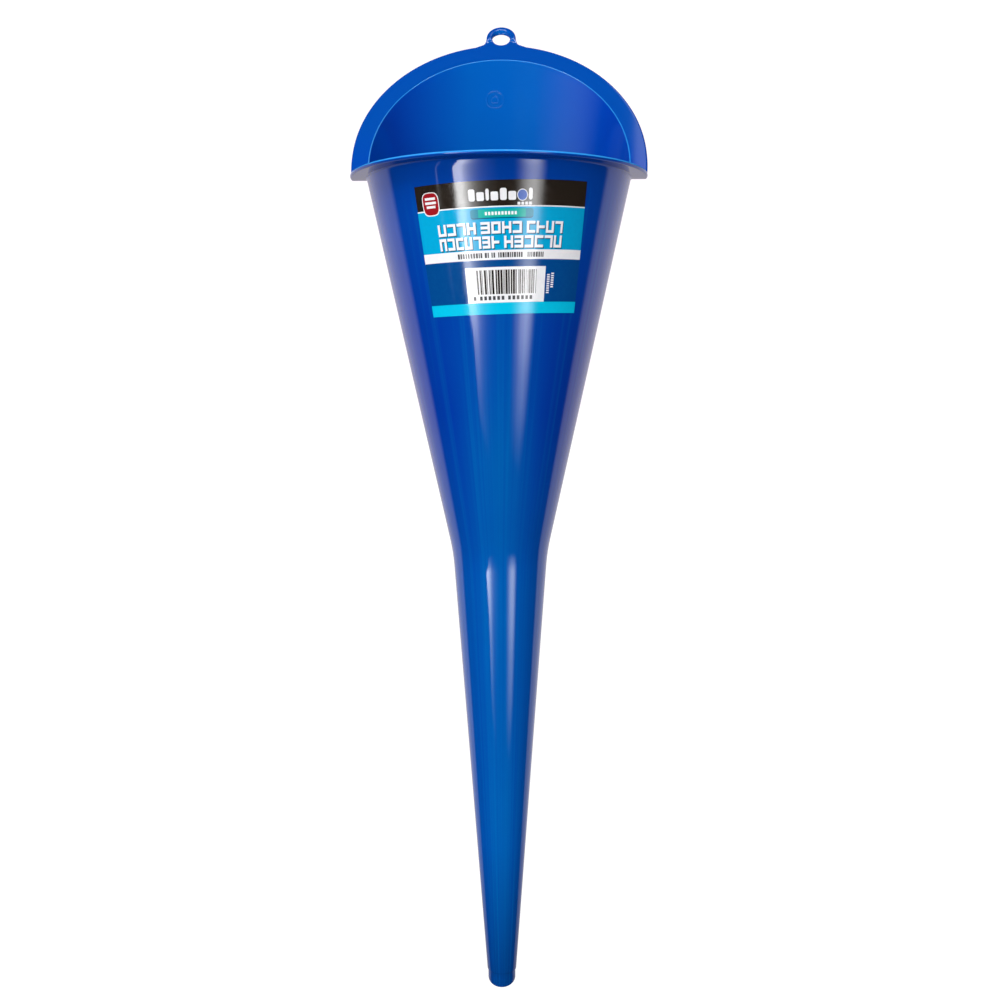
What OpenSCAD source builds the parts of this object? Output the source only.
// Long-neck filling funnel: one thin-walled moulding and the label stuck on its cone.
// The front half of the lip is level. The rear half rises as a splash guard and ends in a hanging eye.
// The moulding is drawn as regions that meet face to face: lips, guard, cone, neck, tip and eye.
// Origin: on the neck's axis, level with the outlet's lowest point. +Z runs up to the mouth,
// the label faces -Y and the splash guard rises towards +Y. Millimetres.

/* [Overall] */
// height from the outlet's lowest point to the top of the rear lip
total_h = 450; // [350:5:600]
// outside diameter of the level front lip
rim_d = 130; // [100:1:200]
// wall thickness of the cone, guard and neck, measured across the axis
wall = 1.2; // [0.8:0.1:2.5]

/* [Lip and splash guard] */
// width of the lip, from the mouth's edge to its outer edge
lip_w = 8; // [4:0.5:14]
// thickness of the lip, square to its face
lip_t = 1.7; // [1.2:0.1:4]
// slope of the rear lip above level, in degrees
guard_slope = 43.4; // [20:0.1:55]

/* [Cone] */
// depth from the front lip down to the shoulder, where the neck begins
cone_depth = 166.6; // [100:0.2:220]
// outside radius at the shoulder, where the cone's line meets the neck's
shoulder_r = 21.4; // [14:0.1:30]
// radius of the blend between the cone and the neck
blend_r = 90; // [20:5:150]

/* [Neck and tip] */
// outside radius at the foot of the neck's taper
neck_foot_r = 6.8; // [5:0.1:12]
// outside radius of the straight tip below the taper
tip_r = 6.4; // [5:0.1:12]
// length of the straight tip
tip_l = 7; // [5:0.5:30]
// radius of the outlet's bore
outlet_r = 5.2; // [3:0.1:10]
// angle of the slanted cut across the tip, in degrees
tip_bevel = 21; // [0:1:28]

/* [Hanging eye] */
// radius of the hole, seen from above
eye_hole_r = 4.5; // [3:0.1:8]
// outside radius of the ring, seen from above
eye_r = 7.4; // [5:0.1:12]
// how far the hole's centre stands behind the rear lip's edge
eye_reach = 4.8; // [3:0.1:12]
// radius of the hollow fillets between the ring and the lip
eye_fillet_r = 5.5; // [3:0.1:9]
// thickness of the eye's web, square to its face
eye_t = 1.2; // [0.8:0.1:4]
// how far the ring stands proud of the web
eye_bead = 0.8; // [0:0.1:2]

/* [Label] */
// depth of the label's top edge below the front lip
label_drop = 10.1; // [5:0.1:60]
// height of the label, measured down the axis
label_h = 51.8; // [20:0.1:90]
// half of the angle that the label covers around the cone, in degrees
label_half_angle = 40; // [10:1:85]
// how far the label is stuck on out of level, in degrees
label_tilt = 1.7; // [-5:0.1:5]
// how far the label's middle is turned towards +X, in degrees
label_turn = 2.9; // [-10:0.1:10]
// thickness of the label
label_t = 0.2; // [0.1:0.05:0.5]

/* [Hidden] */
$fn = 96;
moulding_blue = [0.01, 0.22, 0.60];
label_cyan = [0.02, 0.62, 0.84];

rim_r = rim_d / 2;
cone_r = rim_r - lip_w + wall; // outside radius of the cone, level with the front lip
cone_slope = (cone_r - shoulder_r) / cone_depth; // radius gained per unit of height
guard_top_y = rim_r / (1 - cone_slope * tan(guard_slope));
guard_rise = guard_top_y * tan(guard_slope);
rim_z = total_h - guard_rise;
shoulder_z = rim_z - cone_depth;
neck_slope = (shoulder_r - neck_foot_r) / (shoulder_z - tip_l);

// The blend is an arc tangent to both lines; its ends lie blend_reach along each line.
cone_lean = atan(cone_slope);
neck_lean = atan(neck_slope);
blend_reach = blend_r * tan((cone_lean - neck_lean) / 2);
blend_top_z = shoulder_z + blend_reach * cos(cone_lean);
blend_top_r = shoulder_r + blend_reach * sin(cone_lean);
blend_steps = 6;

lip_drop = lip_t / cos(guard_slope); // the rear lip's thickness, measured straight down
lip_bend_y = (lip_drop - lip_t) / tan(guard_slope); // where the two undersides meet
eye_y = guard_top_y + eye_reach;
eye_fillet_x = eye_r + eye_fillet_r;
reach = 2 * rim_d; // longer than anything across the funnel

// Outside radius of the cone and guard at a height.
function cone_r_at(z) = cone_r + cone_slope * (z - rim_z);

// A ring that follows the cone's slope from z_low to z_high, from "inner" to "outer" off its outside.
module cone_band(z_low, z_high, inner, outer)
    rotate_extrude()
        polygon([
            [cone_r_at(z_low) + inner, z_low], [cone_r_at(z_low) + outer, z_low],
            [cone_r_at(z_high) + outer, z_high], [cone_r_at(z_high) + inner, z_high]
        ]);

// A side view, drawn as points [y, z], made as wide as the funnel.
module side_view(points)
    rotate([90, 0, 90])
        linear_extrude(height = reach, center = true)
            polygon(points);

// A front view, drawn as points [x, z], reaching from the axis to the front.
module front_half_view()
    rotate([90, 0, 0])
        linear_extrude(height = reach)
            children();

// The level half of the lip, in front of the mouth.
module front_lip()
    color(moulding_blue)
        intersection() {
            cone_band(rim_z - lip_t, rim_z, 0, lip_w - wall);
            side_view([[-reach, 0], [0, 0], [0, total_h], [-reach, total_h]]);
        }

// The half of the lip that rises to the rear.
module rear_lip()
    color(moulding_blue)
        intersection() {
            cone_band(rim_z - lip_t, total_h, 0, lip_w - wall);
            side_view([
                [0, rim_z], [reach, rim_z + reach * tan(guard_slope)],
                [reach, rim_z + reach * tan(guard_slope) - lip_drop],
                [lip_bend_y, rim_z - lip_t], [0, rim_z - lip_t]
            ]);
        }

// The cone's wall carried on above the level of the front lip, up to the rear lip's face.
module splash_guard()
    color(moulding_blue)
        intersection() {
            cone_band(rim_z, total_h, -wall, 0);
            side_view([[0, rim_z], [reach, rim_z], [reach, rim_z + reach * tan(guard_slope)]]);
        }

module cone()
    color(moulding_blue)
        cone_band(blend_top_z, rim_z, -wall, 0);

// Outside of the neck from the top of the blend to the foot of the taper, as points [r, z].
function neck_outside() = concat(
    [for (i = [0 : blend_steps])
        let (lean = cone_lean + (neck_lean - cone_lean) * i / blend_steps)
        [blend_top_r + blend_r * (cos(cone_lean) - cos(lean)),
         blend_top_z - blend_r * (sin(cone_lean) - sin(lean))]],
    [[neck_foot_r, tip_l]]
);

module neck()
    color(moulding_blue)
        difference() {
            rotate_extrude()
                polygon(concat([[0, blend_top_z]], neck_outside(), [[0, tip_l]]));
            neck_bore();
        }

// Inside of the neck: its outside moved in by the wall, narrowing to the outlet's bore at the foot.
module neck_bore()
    rotate_extrude()
        polygon(concat(
            [[0, blend_top_z + 1], [blend_top_r - wall + cone_slope, blend_top_z + 1]],
            [for (p = neck_outside()) if (p[1] > tip_l) [p[0] - wall, p[1]]],
            [[outlet_r, tip_l], [outlet_r, tip_l - 1], [0, tip_l - 1]]
        ));

// The straight tip, cut off at a slant with its low point to the front.
module spout_tip()
    color(moulding_blue)
        difference() {
            cylinder(r = tip_r, h = tip_l);
            translate([0, 0, -1]) cylinder(r = outlet_r, h = tip_l + 2);
            side_view([
                [-tip_r, 0], [tip_r + 1, (2 * tip_r + 1) * tan(tip_bevel)],
                [tip_r + 1, -1], [-tip_r, -1]
            ]);
        }

// Plan of the eye's web, which two hollow fillets narrow between the ring and the lip.
module eye_web_plan()
    difference() {
        union() {
            translate([0, eye_y]) circle(r = eye_r);
            translate([-eye_fillet_x, eye_y - 2 * eye_r]) square([2 * eye_fillet_x, 2 * eye_r]);
        }
        for (side = [-1, 1])
            translate([side * eye_fillet_x, eye_y]) circle(r = eye_fillet_r);
        translate([0, eye_y]) circle(r = eye_hole_r);
    }

// Plan of the ring alone.
module eye_ring_plan()
    translate([0, eye_y])
        difference() {
            circle(r = eye_r);
            circle(r = eye_hole_r);
        }

// A plan cut to a plate in the rear lip's slope, from above the lip's upper face to below it.
module sloped_plate(above, below)
    intersection() {
        translate([0, 0, rim_z])
            linear_extrude(height = total_h)
                children();
        side_view([
            [0, rim_z + above / cos(guard_slope)],
            [reach, rim_z + reach * tan(guard_slope) + above / cos(guard_slope)],
            [reach, rim_z + reach * tan(guard_slope) - below / cos(guard_slope)],
            [0, rim_z - below / cos(guard_slope)]
        ]);
    }

// The web is flush with the rear lip's upper face, and the ring stands proud of it.
module hanging_eye()
    color(moulding_blue)
        difference() {
            union() {
                sloped_plate(0, eye_t) eye_web_plan();
                sloped_plate(eye_bead, eye_t) eye_ring_plan();
            }
            rotate_extrude()
                polygon([
                    [0, rim_z], [rim_r, rim_z],
                    [cone_r_at(total_h + eye_r) + lip_w - wall, total_h + eye_r], [0, total_h + eye_r]
                ]);
        }

// The label is a fan cut to the cone: its top and bottom run around the cone and its sides run down it.
module label() {
    top_z = rim_z - label_drop;
    low_z = top_z - label_h;
    mid_z = (top_z + low_z) / 2;
    half = label_h / 2;
    top_x = cone_r_at(top_z) * sin(label_half_angle);
    low_x = cone_r_at(low_z) * sin(label_half_angle);
    color(label_cyan)
        rotate(label_turn)
            intersection() {
                cone_band(low_z - 5, top_z + 5, 0, label_t);
                front_half_view()
                    translate([0, mid_z]) rotate(label_tilt)
                        polygon([[-low_x, -half], [low_x, -half], [top_x, half], [-top_x, half]]);
            }
}

front_lip();
rear_lip();
splash_guard();
cone();
neck();
spout_tip();
hanging_eye();
label();
